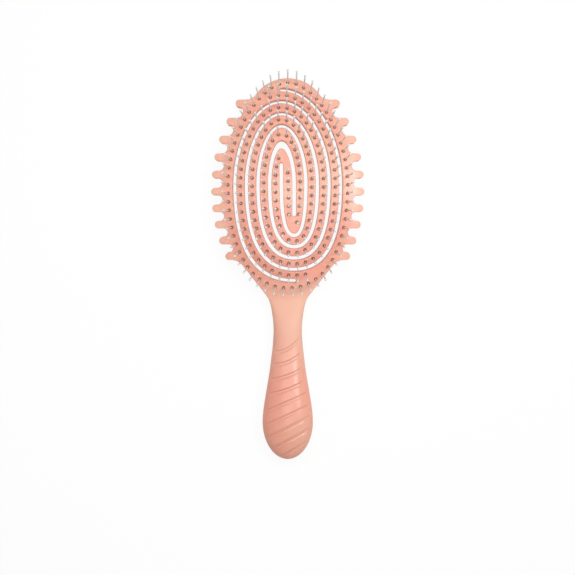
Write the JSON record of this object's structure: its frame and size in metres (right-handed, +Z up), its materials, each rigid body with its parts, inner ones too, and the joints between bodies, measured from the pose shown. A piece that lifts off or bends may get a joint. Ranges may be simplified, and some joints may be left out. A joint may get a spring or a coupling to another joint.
{
  "type": "detangling brush",
  "caption": "Flat detangling hair brush: domed oval head cut into two flexing spiral arms, comb fingers along both sides, ball-tipped pins, and a plump round-ended handle.",
  "frame": {"origin": "middle of the bounding box, on the table the brush lies on with its pins up", "axes": "+Y along the brush from the handle to the top of the head, +Z up out of the pins, +X to the right seen from the pin side"},
  "size_m": [0.0938, 0.2394, 0.035],
  "materials": {
    "body": "satin moulded plastic, peach",
    "pins": "smooth greyish white nylon"
  },
  "bodies": {
    "frame": {"front_shell": "body", "back_shell": "body", "rim_pins": "pins"},
    "turn_1": {"arm_a_front_1": "body", "arm_a_back_1": "body", "arm_b_front_1": "body", "arm_b_back_1": "body", "turn_pins_1": "pins"},
    "turn_2": {"arm_a_front_2": "body", "arm_a_back_2": "body", "arm_b_front_2": "body", "arm_b_back_2": "body", "turn_pins_2": "pins"},
    "turn_3": {"arm_a_front_3": "body", "arm_a_back_3": "body", "arm_b_front_3": "body", "arm_b_back_3": "body", "turn_pins_3": "pins"},
    "centre": {"centre_front": "body", "centre_back": "body", "centre_pins": "pins"}
  },
  "joints": [
    {"name": "turn_1_flex", "type": "slide", "parent": "frame", "child": "turn_1", "axis": [0, 0, 1], "range_m": [-0.0015, 0.00075], "stiffness_N_per_m": 400},
    {"name": "turn_2_flex", "type": "slide", "parent": "turn_1", "child": "turn_2", "axis": [0, 0, 1], "range_m": [-0.0015, 0.00075], "stiffness_N_per_m": 400},
    {"name": "turn_3_flex", "type": "slide", "parent": "turn_2", "child": "turn_3", "axis": [0, 0, 1], "range_m": [-0.0015, 0.00075], "stiffness_N_per_m": 400},
    {"name": "centre_flex", "type": "slide", "parent": "turn_3", "child": "centre", "axis": [0, 0, 1], "range_m": [-0.0015, 0.00075], "stiffness_N_per_m": 400}
  ],
  "couplings": [
    {"joint": "turn_2_flex", "follows": "turn_1_flex", "ratio": 1},
    {"joint": "turn_3_flex", "follows": "turn_1_flex", "ratio": 1},
    {"joint": "centre_flex", "follows": "turn_1_flex", "ratio": 1}
  ]
}
